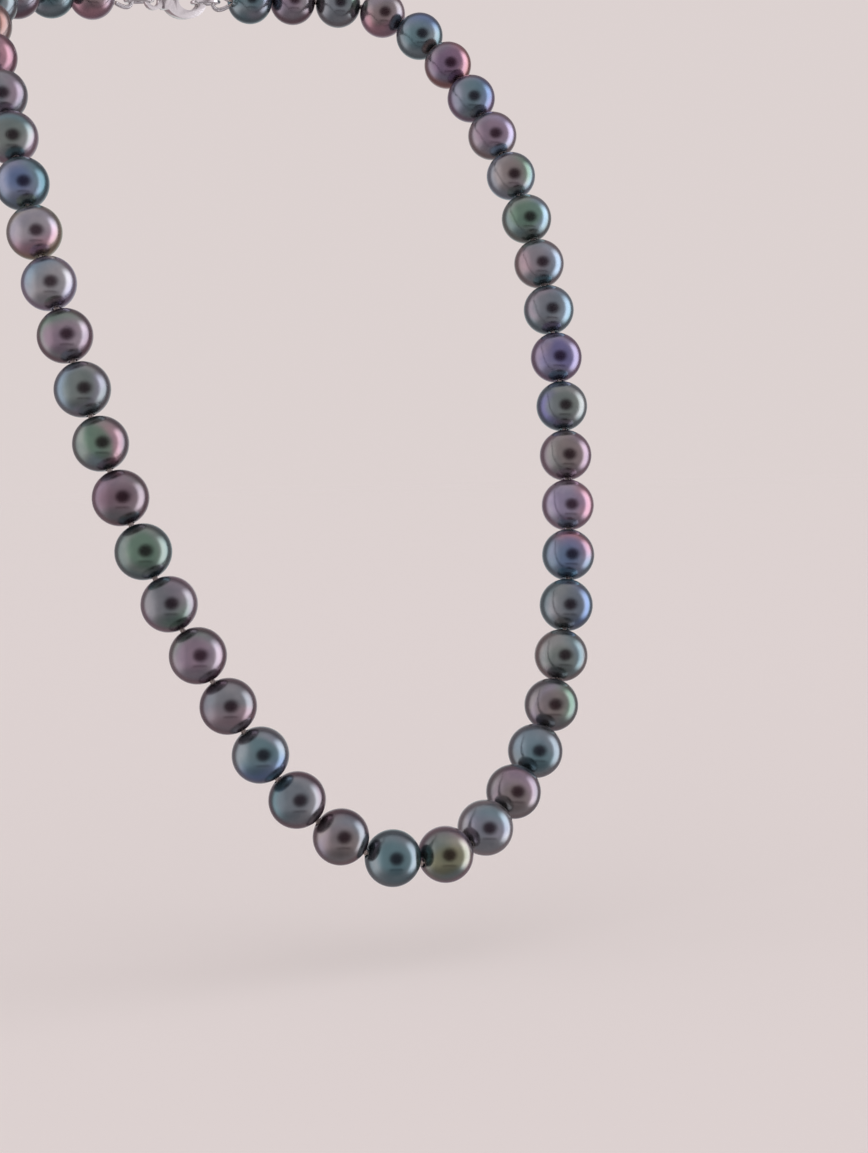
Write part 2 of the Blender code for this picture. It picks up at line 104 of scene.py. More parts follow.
class Wire:
    # a node socket that adds, scales and compares like a number
    def __init__(self, tree, socket=None):
        self.tree = tree
        self.socket = socket

    def node(self, kind, settings=None, inputs=None, output=0):
        # adds a node: its settings first, then the values or links of its sockets
        made = self.tree.nodes.new(kind)
        for name, value in (settings or {}).items():
            setattr(made, name, value)
        for name, value in (inputs or {}).items():
            if isinstance(value, Wire):
                self.tree.links.new(value.socket, made.inputs[name])
            else:
                made.inputs[name].default_value = value
        return Wire(self.tree, made.outputs[output] if len(made.outputs) else None)

    def maths(self, operation, first, second=0.0):
        return self.node("ShaderNodeMath", {"operation": operation}, {0: first, 1: second})

    def mix(self, factor, first, second, blend="MIX"):
        settings = {"data_type": "RGBA", "blend_type": blend, "clamp_factor": True}
        return self.node("ShaderNodeMix", settings, {0: factor, 6: first, 7: second}, 2)

    def smooth(self, low, high):
        # eases from 0 at the low value to 1 at the high one
        settings = {"interpolation_type": "SMOOTHSTEP"}
        return self.node("ShaderNodeMapRange", settings, {0: self, 1: low, 2: high})

    def band(self, low, high, edge):
        # 1 between two values, easing to 0 outside them
        return self.smooth(low - edge, low + edge) * (1 - self.smooth(high - edge, high + edge))

    def objectPlace(self):
        # a point's Object coordinates
        return self.node("ShaderNodeTexCoord", None, None, 3)

    def dot(self, direction):
        settings = {"operation": "DOT_PRODUCT"}
        return self.node("ShaderNodeVectorMath", settings, {0: self, 1: tuple(direction)}, 1)

    def noise(self, scale, detail=2.0, roughness=0.5):
        inputs = {"Vector": self, "Scale": scale, "Detail": detail, "Roughness": roughness}
        return self.node("ShaderNodeTexNoise", None, inputs)

    def __add__(self, other):
        return self.maths("ADD", self, other)

    def __radd__(self, other):
        return self.maths("ADD", other, self)

    def __sub__(self, other):
        return self.maths("SUBTRACT", self, other)

    def __rsub__(self, other):
        return self.maths("SUBTRACT", other, self)

    def __mul__(self, other):
        return self.maths("MULTIPLY", self, other)

    def __rmul__(self, other):
        return self.maths("MULTIPLY", other, self)


def newMaterial(name):
    # an empty material and a wire to start its nodes from
    material = bpy.data.materials.new(name)
    material.use_nodes = True
    material.node_tree.nodes.clear()
    return material, Wire(material.node_tree)


# each direction is given by its cosines: towards the view's side, to its right and up
tent = {
    "front": (0.74, 0.665, 0.71), "left": (1.2, 1.08, 1.14), "leftFrom": (0.55, 0.95),
    "apron": (0.45, 0.92), "apronShade": (0.33, 0.30, 0.33),      # the dim stretch low in front
    "rear": (0.32, 0.245, 0.262), "backdrop": (0.72, 0.645, 0.635),
    "edge": (-0.52, -0.14), "frontFrom": (0.2, 0.4),              # where the tent and its front begin
    "lamp": (2.75, 2.65, 2.85), "lampBand": (-0.48, 0.12, 0.12), "lampSide": (0.62, 0.93),
    "hatch": (0.24, 0.04, 0.50, 0.46),  # middle, across and up, and half sizes of the dark opening
    "hatchShade": (0.05, 0.015, 0.03), "hatchEdge": (0.30, 1.6),
    "sill": (-0.70, -0.61), "sillSoft": 0.03,                     # a dim strip under the opening
    "sillMiddle": 0.17, "sillHalf": 0.42, "sillEdge": 0.1, "sillDepth": 0.85,
    "behind": (0.80, 0.97), "behindShade": (0.66, 0.65, 0.66),
}


def makeLight():
    # a pale tent in front with one dark opening, a lamp on the right, a dim room behind
    world = bpy.data.worlds.new("studio")
    bpy.context.scene.world = world
    world.use_nodes = True
    world.node_tree.nodes.clear()
    start = Wire(world.node_tree)
    direction = start.node("ShaderNodeTexCoord")
    ahead, across, above = (direction.dot(axis) for axis in (toward, right, up))
    canvas = start.mix((0 - across).smooth(*tent["leftFrom"]), (*tent["front"], 1), (*tent["left"], 1))
    canvas = start.mix((0 - above).smooth(*tent["apron"]), canvas, (*tent["apronShade"], 1))
    shade = start.mix(ahead.smooth(*tent["edge"]), (*tent["rear"], 1), canvas)
    lamp = ahead.band(*tent["lampBand"]) * across.smooth(*tent["lampSide"])
    shade = start.mix(lamp, shade, (*tent["lamp"], 1))
    middleX, middleY, halfX, halfY = tent["hatch"]
    inFront = ahead.smooth(*tent["frontFrom"])
    aside, aloft = (across - middleX) * (1 / halfX), (above - middleY) * (1 / halfY)
    hatch = (1 - (aside * aside + aloft * aloft).smooth(*tent["hatchEdge"])) * inFront
    shade = start.mix(hatch, shade, (*tent["hatchShade"], 1))
    wide, middle = tent["sillHalf"], tent["sillMiddle"]
    sill = above.band(*tent["sill"], tent["sillSoft"])
    sill = sill * across.band(middle - wide, middle + wide, tent["sillEdge"])
    shade = start.mix(sill * inFront * tent["sillDepth"], shade, (*tent["hatchShade"], 1))
    shade = start.mix((0 - ahead).smooth(*tent["behind"]), shade, (*tent["behindShade"], 1))
    lit = start.node("ShaderNodeBackground", None, {0: shade})
    seen = start.node("ShaderNodeBackground", None, {0: (*tent["backdrop"], 1)})
    fromEye = start.node("ShaderNodeLightPath")
    both = start.node("ShaderNodeMixShader", None, {0: fromEye, 1: lit, 2: seen})
    start.node("ShaderNodeOutputWorld", None, {0: both})


ground = {
    "radius": 1.6, "steps": 96, "rings": 24, "clear": (0.15, 1.2), "drop": 0.012,
    "shade": (0.67, 0.64, 0.605), "roughness": 0.9, "glow": 0.36,
    "grain": 900.0, "grainDetail": 4.0, "grainShare": 0.05, "grainShade": (0.56, 0.53, 0.51),
}


def makeGround():
    # a flat disc under the strand, x = reach cos, y = reach sin, thinning out towards its edge
    angle = np.linspace(0, 2 * np.pi, ground["steps"], endpoint=False)[None, :]
    reach = (np.linspace(0, 1, ground["rings"])[1:, None]) ** 2 * ground["radius"]
    lowest, highest = cadBounds
    middle = (lowest + highest) / 2
    x = middle.x + reach * np.cos(angle)
    y = middle.y + reach * np.sin(angle)
    z = np.full_like(x, lowest.z - ground["drop"])
    floor = gridPiece("studio_floor", np.stack([x, y, z], -1), aroundRows=False, capStart=True)
    material, start = newMaterial("studio floor")
    place = start.objectPlace()
    offset = start.node("ShaderNodeVectorMath", {"operation": "DISTANCE"},
                        {0: place, 1: (middle.x, middle.y, lowest.z - ground["drop"])}, 1)
    solid = 1 - offset.smooth(*ground["clear"])
    grain = place.noise(ground["grain"], ground["grainDetail"]) * ground["grainShare"]
    paper = start.mix(grain, (*ground["shade"], 1), (*ground["grainShade"], 1))
    skin = start.node("ShaderNodeBsdfPrincipled", None, {
        "Base Color": paper, "Roughness": ground["roughness"], "Alpha": solid,
        "Emission Color": (*ground["shade"], 1), "Emission Strength": ground["glow"]})
    start.node("ShaderNodeOutputMaterial", None, {0: skin})
    floor.data.materials.append(material)
    floor.visible_glossy = False


def meshPiece(name, corners, faces):
    # vertices and faces as whole arrays into one mesh object at the origin
    mesh = bpy.data.meshes.new(name)
    mesh.from_pydata(corners.tolist(), [], faces)
    mesh.polygons.foreach_set("use_smooth", np.full(len(mesh.polygons), True))
    mesh.update()
    piece = bpy.data.objects.new(name, mesh)
    bpy.context.scene.collection.objects.link(piece)
    return piece


def gridFaces(rows, columns, aroundRows, first=0):
    # quads between neighbouring rows; columns always close round, rows close if asked
    row = np.arange(rows if aroundRows else rows - 1)[:, None]
    column = np.arange(columns)[None, :]
    nextRow, nextColumn = (row + 1) % rows, (column + 1) % columns
    quads = [row * columns + column, row * columns + nextColumn,
             nextRow * columns + nextColumn, nextRow * columns + column]
    return (np.stack(np.broadcast_arrays(*quads), -1).reshape(-1, 4) + first).tolist()


def gridPiece(name, grid, aroundRows=True, capStart=False):
    # a grid of points, rows by columns, as a closed skin or one that starts in a cap
    rows, columns = grid.shape[:2]
    faces = gridFaces(rows, columns, aroundRows)
    if capStart:
        faces.append(list(range(columns))[::-1])
    return meshPiece(name, grid.reshape(-1, 3), faces)


def joinGrids(name, grids):
    # several grids as one piece: a wire has two capped ends, and a ring closes on itself
    corners, faces, first = [], [], 0
    for grid, closed in grids:
        rows, columns = grid.shape[:2]
        corners.append(grid.reshape(-1, 3))
        faces += gridFaces(rows, columns, closed, first)
        if not closed:
            faces.append([first + i for i in range(columns)][::-1])
            faces.append([first + (rows - 1) * columns + i for i in range(columns)])
        first += rows * columns
    return meshPiece(name, np.concatenate(corners), faces)


def unit(vectors):
    return vectors / np.linalg.norm(vectors, axis=-1, keepdims=True)


def sideways(axis):
    # two directions square to an axis and to each other
    steep = 0.9   # past this much of z, x is the helper
    spare = np.array([0.0, 0.0, 1.0]) if abs(axis[2]) < steep else np.array([1.0, 0.0, 0.0])
    first = unit(np.cross(axis, spare))
    return first, np.cross(axis, first)


def carried(forward):
    # two directions square to a path all along it: the first loses only its part along the path
    across = np.zeros_like(forward)
    across[0] = sideways(forward[0])[0]
    for i in range(1, len(forward)):
        step = across[i - 1] - forward[i] * (across[i - 1] @ forward[i])
        across[i] = step / np.linalg.norm(step)
    return across, np.cross(forward, across)


def runLength(path):
    # the length from the path's start to each of its points
    return np.concatenate([[0], np.cumsum(np.linalg.norm(np.diff(path, axis=0), axis=1))])


def sweep(path, radius, sides, around=False):
    # a circle carried along a path: point = path + radius (across cos + other sin)
    forward = np.gradient(path, axis=0)
    if around:
        forward = np.roll(path, -1, 0) - np.roll(path, 1, 0)
    across, other = carried(unit(forward))
    angle = np.linspace(0, 2 * np.pi, sides, endpoint=False)
    radius = np.broadcast_to(np.asarray(radius, float).reshape(-1, 1, 1), (len(path), 1, 1))
    circle = across[:, None] * np.cos(angle)[None, :, None] + other[:, None] * np.sin(angle)[None, :, None]
    return path[:, None] + circle * radius


makeCamera()
makeLight()
makeGround()
print("camera, light and floor ready")

palette = {   # light that each tone of nacre sends back, straight on
    "steel": (0.21, 0.25, 0.27), "silver": (0.38, 0.38, 0.38), "slate": (0.15, 0.175, 0.19),
    "teal": (0.12, 0.24, 0.26), "deepTeal": (0.07, 0.17, 0.19), "green": (0.14, 0.26, 0.18),
    "olive": (0.26, 0.27, 0.15), "blue": (0.13, 0.21, 0.38), "sky": (0.24, 0.36, 0.44),
    "indigo": (0.17, 0.17, 0.36), "lavender": (0.31, 0.28, 0.40), "mauve": (0.31, 0.23, 0.29),
    "purple": (0.22, 0.145, 0.23), "pink": (0.48, 0.25, 0.29), "taupe": (0.27, 0.235, 0.22),
    "aubergine": (0.17, 0.10, 0.13), "russet": (0.30, 0.15, 0.12), "greyGreen": (0.20, 0.25, 0.22),
}

# each pearl: tone in the middle (laid darker where it faces along the main view, as painted reflection), tone on
# one side, that side (to the right, up), tone at the rim (a painted rim reflection where it turns from the main
# view)
overtones = {
    "left_20": ("deepTeal", "green", (0, 1), "slate"), "left_19": ("olive", "russet", (1, 0), "taupe"),
    "left_18": ("mauve", "pink", (1, 0), "aubergine"), "left_17": ("steel", "mauve", (1, 0), "slate"),
    "left_16": ("greyGreen", "teal", (0, 1), "mauve"), "left_15": ("blue", "teal", (1, 0.4), "deepTeal"),
    "left_14": ("silver", "pink", (0.3, -1), "olive"),
    "left_13": ("silver", "sky", (-0.7, 0.7), "lavender"),
    "left_12": ("mauve", "green", (-0.4, 1), "aubergine"),
    "left_11": ("greyGreen", "sky", (-1, 0.2), "slate"),
    "left_10": ("green", "pink", (1, 0.2), "slate"),
    "left_09": ("aubergine", "mauve", (-0.6, 0.5), "aubergine"),
    "left_08": ("green", "greyGreen", (1, 0), "deepTeal"),
    "left_07": ("slate", "green", (0.6, -0.8), "mauve"),
    "left_06": ("mauve", "greyGreen", (-0.4, 1), "aubergine"),
    "left_05": ("slate", "steel", (-0.8, 0.2), "aubergine"),
    "left_04": ("teal", "blue", (0.3, -1), "steel"), "left_03": ("steel", "teal", (-1, 0), "aubergine"),
    "left_02": ("taupe", "steel", (0.5, 0.5), "aubergine"),
    "left_01": ("teal", "steel", (1, 0.3), "deepTeal"),
    "centre": ("olive", "greyGreen", (-0.6, 0.7), "mauve"),
    "right_01": ("steel", "teal", (0.3, 1), "silver"), "right_02": ("taupe", "mauve", (0.5, 0.5), "slate"),
    "right_03": ("teal", "steel", (1, 0.6), "slate"), "right_04": ("taupe", "green", (1, 0), "slate"),
    "right_05": ("greyGreen", "teal", (1, 0.2), "taupe"), "right_06": ("steel", "blue", (1, -0.2), "teal"),
    "right_07": ("blue", "pink", (0.7, 1), "teal"), "right_08": ("lavender", "pink", (1, 0), "mauve"),
    "right_09": ("taupe", "mauve", (1, 0), "mauve"),
    "right_10": ("greyGreen", "indigo", (-1, -0.2), "teal"),
    "right_11": ("indigo", "lavender", (1, 0.2), "purple"), "right_12": ("steel", "sky", (1, 0), "teal"),
    "right_13": ("steel", "sky", (1, 0.2), "taupe"), "right_14": ("green", "sky", (1, 0), "greyGreen"),
    "right_15": ("taupe", "green", (1, 0.3), "sky"), "right_16": ("mauve", "lavender", (0.5, 0.5), "taupe"),
    "right_17": ("teal", "blue", (1, 0), "purple"), "right_18": ("purple", "pink", (1, 0), "russet"),
}
spareOvertones = (   # taken in turn by the pearls behind the neck
    ("steel", "green", (0.5, 0.5), "slate"), ("mauve", "lavender", (-0.5, 0.3), "aubergine"),
    ("teal", "blue", (0.2, 0.8), "deepTeal"), ("taupe", "pink", (-0.3, -0.6), "mauve"),
)

pearl = {
    "columns": 64, "rows": 44, "boreRows": 5, "rounding": 7,
    "mouth": 0.0008, "bore": 0.00055, "chamfer": 0.0003,   # as the CAD drills it
    "uneven": 0.0016, "unevenLeast": 0.2, "thirdWave": 0.6, "phase": 6,
    "ringDepth": 0.0022, "ringWidth": 0.05, "ringReach": 0.6,
}


def pearlPlace(node):
    # centre, drill axis, radius and half length of a turned CAD pearl, from its own corners
    mesh = frame["nodes"][node].data
    corners = np.zeros(len(mesh.vertices) * 3)
    mesh.vertices.foreach_get("co", corners)
    corners = np.unique(corners.reshape(-1, 3).round(pearl["rounding"]), axis=0)
    middle = corners.mean(0)
    offset = corners - middle
    sizes, axes = np.linalg.eigh(offset.T @ offset)
    axis = axes[:, 0] if sizes[1] - sizes[0] > sizes[2] - sizes[1] else axes[:, 2]
    along = offset @ axis
    radius = np.linalg.norm(offset - np.outer(along, axis), axis=1).max()
    return middle, axis, radius, np.abs(along).max()


def pearlGrid(axis, radius, half, seed):
    # an ellipse turned round the drill hole: along = half cos t, out = radius sin t between the
    # two mouths, then straight back through the bore; two waves and a ring make it a little uneven
    rng = np.random.default_rng(seed)
    rise = math.asin(pearl["mouth"] / radius)
    fullHalf = half / math.cos(rise)
    t = np.linspace(rise, np.pi - rise, pearl["rows"])
    along, out = fullHalf * np.cos(t), radius * np.sin(t)
    inside = np.linspace(-half + pearl["chamfer"], half - pearl["chamfer"], pearl["boreRows"])
    along = np.concatenate([along, inside])
    out = np.concatenate([out, np.full(pearl["boreRows"], pearl["bore"])])
    outside = np.concatenate([np.sin(t) ** 2, np.zeros(pearl["boreRows"])])[:, None]
    angle = np.linspace(0, 2 * np.pi, pearl["columns"], endpoint=False)[None, :]
    place = (along / fullHalf)[:, None]
    third, reach = pearl["thirdWave"], pearl["ringReach"]
    uneven = np.cos(2 * angle + rng.uniform(0, pearl["phase"]))
    uneven = uneven + third * np.cos(3 * angle + rng.uniform(0, pearl["phase"]) + place)
    swell = 1 - pearl["uneven"] * rng.uniform(pearl["unevenLeast"], 1.0) * (1 + third + uneven)
    mark = np.exp(-((place - rng.uniform(-reach, reach)) / pearl["ringWidth"]) ** 2)
    swell = swell - pearl["ringDepth"] * rng.uniform(0, 1) ** 2 * mark
    out = out[:, None] * (1 + (swell - 1) * outside)
    first, second = sideways(axis)
    radial = first * np.cos(angle)[..., None] + second * np.sin(angle)[..., None]
    return along[:, None, None] * axis + out[..., None] * radial


patchTones = ("mauve", "teal", "lavender", "greyGreen", "sky", "pink")   # one of these clouds each pearl
tint = {   # how far each tone covers the one below it, and between which values it fades in
    "body": 0.5, "patch": 0.4, "patchWaves": 3, "side": 0.85, "sideFrom": (0.05, 0.95), "sideLean": 0.25,
    # core and rim: painted reflection tones, placed by how squarely the surface faces the main view
    "core": 0.8, "coreShade": 0.85, "coreFrom": (0.70, 0.97), "rim": 0.8, "rimFrom": (0.74, 0.25),
    "drift": 0.10, "driftWaves": 4, "phase": 6, "depth": 1.03, "greyWeights": (0.25, 0.6, 0.15),
}


def smoothStep(low, high, value):
    # share of the way from low to high, eased: share squared (3 - 2 share)
    share = np.clip((value - low) / (high - low), 0, 1)
    return share * share * (3 - 2 * share)


def nacreWithPaintedReflection(grid, radius, tones, seed):
    # middle tone, darkened, as a painted reflection where the surface faces the strand's front or back (along the
    # main view), side tone on one side, rim tone between them as a painted rim reflection, with a drifting wave in
    # every edge and one patch of another tone
    middleTone, sideTone, paintedRimTone = (np.array(palette[tones[i]]) for i in (0, 1, 3))
    side, waves, patchWaves = tones[2], tint["driftWaves"], tint["patchWaves"]
    rng = np.random.default_rng(seed)
    facing = grid / radius
    # how squarely each point faces along the main view: it places the painted reflection tones
    forward = np.abs(facing @ np.array(toward))
    sideAxis = side[0] * np.array(right) + side[1] * np.array(up) + tint["sideLean"] * np.array(toward)
    drift = facing @ rng.uniform(-waves, waves, 3) + rng.uniform(0, tint["phase"])
    drift = tint["drift"] * np.sin(drift)
    sideShare = smoothStep(*tint["sideFrom"], facing @ unit(sideAxis) + drift)[..., None]
    # painted reflection: the rim share where the surface turns from the main view, the core share where it faces
    # along it
    paintedRimShare = smoothStep(*tint["rimFrom"], forward + drift)[..., None]
    paintedCoreShare = smoothStep(*tint["coreFrom"], forward + drift)[..., None]
    body = np.array(palette["silver"]) * (1 - tint["body"]) + middleTone * tint["body"]
    patchTone = np.array(palette[patchTones[rng.integers(len(patchTones))]])
    patchWave = facing @ rng.uniform(-patchWaves, patchWaves, 3) + rng.uniform(0, tint["phase"])
    patchShare = smoothStep(0.0, 1.0, np.sin(patchWave))[..., None]
    shade = body + (patchTone - body) * patchShare * tint["patch"]
    shade = shade + (sideTone - shade) * sideShare * tint["side"]
    # painted reflection: the middle tone, darkened, where the surface faces along the main view
    shade = shade + (middleTone * tint["coreShade"] - shade) * paintedCoreShare * tint["core"]
    # painted rim reflection: the rim tone where the surface turns from the main view
    shade = shade + (paintedRimTone - shade) * paintedRimShare * tint["rim"]
    grey = shade @ np.array(tint["greyWeights"])
    return grey[..., None] + (shade - grey[..., None]) * tint["depth"]


nacre = {
    "clouds": 330.0, "cloudDetail": 3.0, "cloudBand": (0.35, 0.7), "cloudShade": (0.80, 0.84, 0.86),
    "grain": 5200.0, "grainDetail": 2.0, "grainShare": 0.22, "grainShade": (0.72, 0.7, 0.72),
    "pits": 1150.0, "pitDetail": 1.0, "pitBand": (0.22, 0.32),
    "bump": 0.35, "bumpHeight": 0.00002, "grainBump": 0.25,
    "metal": 0.9, "roughness": 0.19, "cloudRoughness": 0.06,
    "coat": 0.25, "coatRoughness": 0.07, "coatIor": 1.5,
}


def nacreMaterial(name):
    # dark mirror under a clear skin: the tone wanders a little, with fine grain and faint pits
    material, start = newMaterial(name)
    # the nacre attribute holds the pearl's tones with painted reflection at its middle and rim
    tone = start.node("ShaderNodeAttribute", {"attribute_name": "nacre"})
    place = start.objectPlace()
    clouds = place.noise(nacre["clouds"], nacre["cloudDetail"])
    grain = place.noise(nacre["grain"], nacre["grainDetail"])
    deeper = start.mix(1.0, tone, (*nacre["cloudShade"], 1), "MULTIPLY")
    colour = start.mix(clouds.smooth(*nacre["cloudBand"]), tone, deeper)
    grained = start.mix(1.0, colour, (*nacre["grainShade"], 1), "MULTIPLY")
    colour = start.mix(grain * nacre["grainShare"], colour, grained)
    pits = 1 - place.noise(nacre["pits"], nacre["pitDetail"]).smooth(*nacre["pitBand"])
    bump = start.node("ShaderNodeBump", None, {
        "Strength": nacre["bump"], "Distance": nacre["bumpHeight"],
        "Height": grain * nacre["grainBump"] - pits})
    skin = start.node("ShaderNodeBsdfPrincipled", None, {
        "Base Color": colour, "Metallic": nacre["metal"], "Normal": bump,
        "Roughness": nacre["roughness"] + clouds * nacre["cloudRoughness"], "Coat IOR": nacre["coatIor"],
        "Coat Weight": nacre["coat"], "Coat Roughness": nacre["coatRoughness"]})
    start.node("ShaderNodeOutputMaterial", None, {0: skin})
    return material


def makePearls():
    materials = {slot: nacreMaterial(slot) for slot in sorted(set(slotOf.values())) if "nacre" in slot}
    places = {}
    nodes = sorted(node for node in frame["nodes"] if node.startswith("pearl_"))
    for seed, node in enumerate(nodes):
        middle, axis, radius, half = places[node] = pearlPlace(node)
        grid = pearlGrid(axis, radius, half, seed)
        name = node.replace("pearl_", "")
        tones = overtones.get(name, spareOvertones[seed % len(spareOvertones)])
        # the pearl's tones, with painted reflection at its middle and rim set by the main view's direction
        shade = nacreWithPaintedReflection(grid, radius, tones, seed)
        piece = gridPiece(node + "_nacre", grid + middle)
        colour = piece.data.color_attributes.new("nacre", "FLOAT_COLOR", "POINT")
        rgba = np.concatenate([shade, np.ones(shade.shape[:2] + (1,))], -1)
        colour.data.foreach_set("color", rgba.ravel())
        piece.data.materials.append(materials[slotOf[node]])
        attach(piece, bodyOf[node])
        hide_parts(node)
    return places


pearlPlaces = makePearls()
print("pearls ready:", len(pearlPlaces))

silk = {
    "ply": 0.00014, "plyOffset": 0.92, "plySides": 8,   # one ply's radius, its share off the middle
    "lay": 0.0011, "tail": 0.0002,                      # one full twist, the thread past the last pearl
    "step": 0.00012, "leastSteps": 3,
    "knotRadius": 0.00042, "knotStrand": 0.00019, "knotLength": 0.0004, "knotSteps": 72,
    "knotReach": 2.2, "knotTurn": 2.4,                  # what scales the trefoil, the turn between knots
    "shade": (0.80, 0.74, 0.69), "foldShade": (0.62, 0.55, 0.51), "fibre": 9000.0, "fibreDetail": 3.0,
    "bump": 0.5, "bumpHeight": 0.00003, "roughness": 0.62, "sheen": 0.3,
}


def silkMaterial():
    # pale spun silk: fine fibres, with a painted shade for the folds that follows the fibre noise
    material, start = newMaterial("silk")
    place = start.objectPlace()
    fibre = place.noise(silk["fibre"], silk["fibreDetail"])
    # painted shade for the folds, laid on by the fibre noise
    colour = start.mix(fibre, (*silk["shade"], 1), (*silk["foldShade"], 1))
    bump = start.node("ShaderNodeBump", None, {
        "Strength": silk["bump"], "Distance": silk["bumpHeight"], "Height": fibre})
    skin = start.node("ShaderNodeBsdfPrincipled", None, {
        "Base Color": colour, "Roughness": silk["roughness"],
        "Sheen Weight": silk["sheen"], "Normal": bump})
    start.node("ShaderNodeOutputMaterial", None, {0: skin})
    return material


def plies(path):
    # two plies wound round a path: each circles it once in every lay
    first, second = carried(unit(np.gradient(path, axis=0)))
    turn = (2 * np.pi * runLength(path) / silk["lay"])[:, None]
    offset = (first * np.cos(turn) + second * np.sin(turn)) * silk["ply"] * silk["plyOffset"]
    return [(sweep(path + offset, silk["ply"], silk["plySides"]), False),
            (sweep(path - offset, silk["ply"], silk["plySides"]), False)]


def straight(start, end):
    # evenly spaced points from start to end
    count = max(silk["leastSteps"], int(np.linalg.norm(end - start) / silk["step"]))
    return start + (end - start) * np.linspace(0, 1, count)[:, None]


def knotGrid(middle, axis, seed):
    # an overhand knot: a trefoil round the thread, x = sin t + 2 sin 2t, y = cos t - 2 cos 2t,
    # along = -sin 3t, drawn tight
    t = np.linspace(0, 2 * np.pi, silk["knotSteps"], endpoint=False)
    first, second = sideways(axis)
    turn = seed * silk["knotTurn"]
    scale = (silk["knotRadius"] - silk["knotStrand"]) / silk["knotReach"]
    wide, high = np.sin(t) + 2 * np.sin(2 * t), np.cos(t) - 2 * np.cos(2 * t)
    x = (wide * math.cos(turn) - high * math.sin(turn)) * scale
    y = (wide * math.sin(turn) + high * math.cos(turn)) * scale
    along = -np.sin(3 * t) * (silk["knotLength"] - silk["knotStrand"])
    path = middle + x[:, None] * first + y[:, None] * second + along[:, None] * axis
    return sweep(path, silk["knotStrand"], silk["plySides"], around=True)


def makeSilk():
    # every pearl's own length of thread from knot to knot, and the knots: each body takes its own
    sidePearls = len(pearlPlaces) // 2
    numbers = [f"{n:02d}" for n in range(1, sidePearls + 1)]
    order = ["left_" + n for n in reversed(numbers)] + ["centre"] + ["right_" + n for n in numbers]
    mouths = []
    for name in order:
        middle, axis, _, half = pearlPlaces["pearl_" + name]
        mouths.append([middle, axis, half])
    for i, (middle, axis, half) in enumerate(mouths):
        ahead = mouths[min(i + 1, len(order) - 1)][0] - mouths[max(i - 1, 0)][0]
        mouths[i][1] = axis if axis @ ahead > 0 else -axis
    ends = [(middle - axis * half, middle + axis * half) for middle, axis, half in mouths]
    knots = [(ends[i][1] + ends[i + 1][0]) / 2 for i in range(len(order) - 1)]
    grids = {}
    for i, name in enumerate(order):
        body = bodyOf["pearl_" + name]
        start = knots[i - 1] if i > 0 else ends[i][0] - mouths[i][1] * silk["tail"]
        stop = knots[i] if i < len(knots) else ends[i][1] + mouths[i][1] * silk["tail"]
        path = np.concatenate([straight(start, ends[i][0])[:-1], straight(ends[i][0], ends[i][1])[:-1],
                               straight(ends[i][1], stop)])
        grids.setdefault(body, []).extend(plies(path))
    for i, knot in enumerate(knots):
        along = unit(ends[i + 1][0] - ends[i][1])
        holder = order[i] if i >= len(knots) // 2 else order[i + 1]
        grids.setdefault(bodyOf["pearl_" + holder], []).append((knotGrid(knot, along, i), True))
    for body, parts in grids.items():
        piece = joinGrids("silk_" + body, parts)
        piece.data.materials.append(silkSkin)
        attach(piece, body)
        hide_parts("silk_thread")


silkSkin = silkMaterial()
makeSilk()
print("silk ready")

metal = {
    "silver": (0.81, 0.81, 0.80), "silverRoughness": 0.15, "silverGrain": 900.0,
    "steel": (0.47, 0.48, 0.50), "steelRoughness": 0.3, "steelGrain": 1400.0,
    "stretch": (1.0, 6.0, 14.0), "cross": (12.0, 5.0, 1.0), "scratchDetail": 3.0,
    "scratchBand": (0.45, 0.75), "crossBand": (0.5, 0.8), "scratchRoughness": 0.06,
    "tarnish": 700.0, "tarnishDetail": 4.0, "tarnishBand": (0.45, 0.75), "tarnishShare": 0.35,
    "tarnishDark": 0.62, "tarnishRoughness": 0.12, "bump": 0.25, "bumpHeight": 0.00001,
}


def metalMaterial(name, shade, roughness, grain):
    # polished metal with fine scratches both ways and a little tarnish
    material, start = newMaterial(name)
    place = start.objectPlace()
    stretched = start.node("ShaderNodeMapping", None, {"Vector": place, "Scale": metal["stretch"]})
    crossed = start.node("ShaderNodeMapping", None, {"Vector": place, "Scale": metal["cross"]})
    scratches = stretched.noise(grain, metal["scratchDetail"]).smooth(*metal["scratchBand"])
    scratches = scratches + crossed.noise(grain, metal["scratchDetail"]).smooth(*metal["crossBand"])
    tarnish = place.noise(metal["tarnish"], metal["tarnishDetail"]).smooth(*metal["tarnishBand"])
    dark = tuple(metal["tarnishDark"] * part for part in shade)
    colour = start.mix(tarnish * metal["tarnishShare"], (*shade, 1), (*dark, 1))
    bump = start.node("ShaderNodeBump", None, {
        "Strength": metal["bump"], "Distance": metal["bumpHeight"], "Height": scratches})
    rough = roughness + scratches * metal["scratchRoughness"] + tarnish * metal["tarnishRoughness"]
    skin = start.node("ShaderNodeBsdfPrincipled", None, {
        "Base Color": colour, "Metallic": 1.0, "Roughness": rough, "Normal": bump})
    start.node("ShaderNodeOutputMaterial", None, {0: skin})
    return material


def finishPiece(piece, node, material):
    piece.data.materials.clear()
    piece.data.materials.append(material)
    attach(piece, bodyOf[node])
    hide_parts(node)


bullion = {
    "reach": 0.0034, "swell": 0.0009, "legs": 0.0005,   # the loop's length, half swell, half leg gap
    "radius": 0.00042, "wire": 0.0001, "turns": 44, "steps": 14, "sides": 8, "points": 400,
    "end": 0.012,                                        # share of the loop left bare at each end
    "thread": 0.0002, "depth": 0.0012,                   # the silk inside, led into the last pearl
}


def loopPath(bend, outward, count):
    # the loop out of the last pearl: x = reach sin(pi t), z = swell sin(2 pi t) + legs cos(pi t)
    t = np.linspace(0, 1, count)
    x = bend[0] + outward * bullion["reach"] * (1 - np.sin(np.pi * t))
    z = bend[2] + bullion["swell"] * np.sin(2 * np.pi * t) + bullion["legs"] * np.cos(np.pi * t)
    return np.stack([x, np.full(count, bend[1]), z], -1)


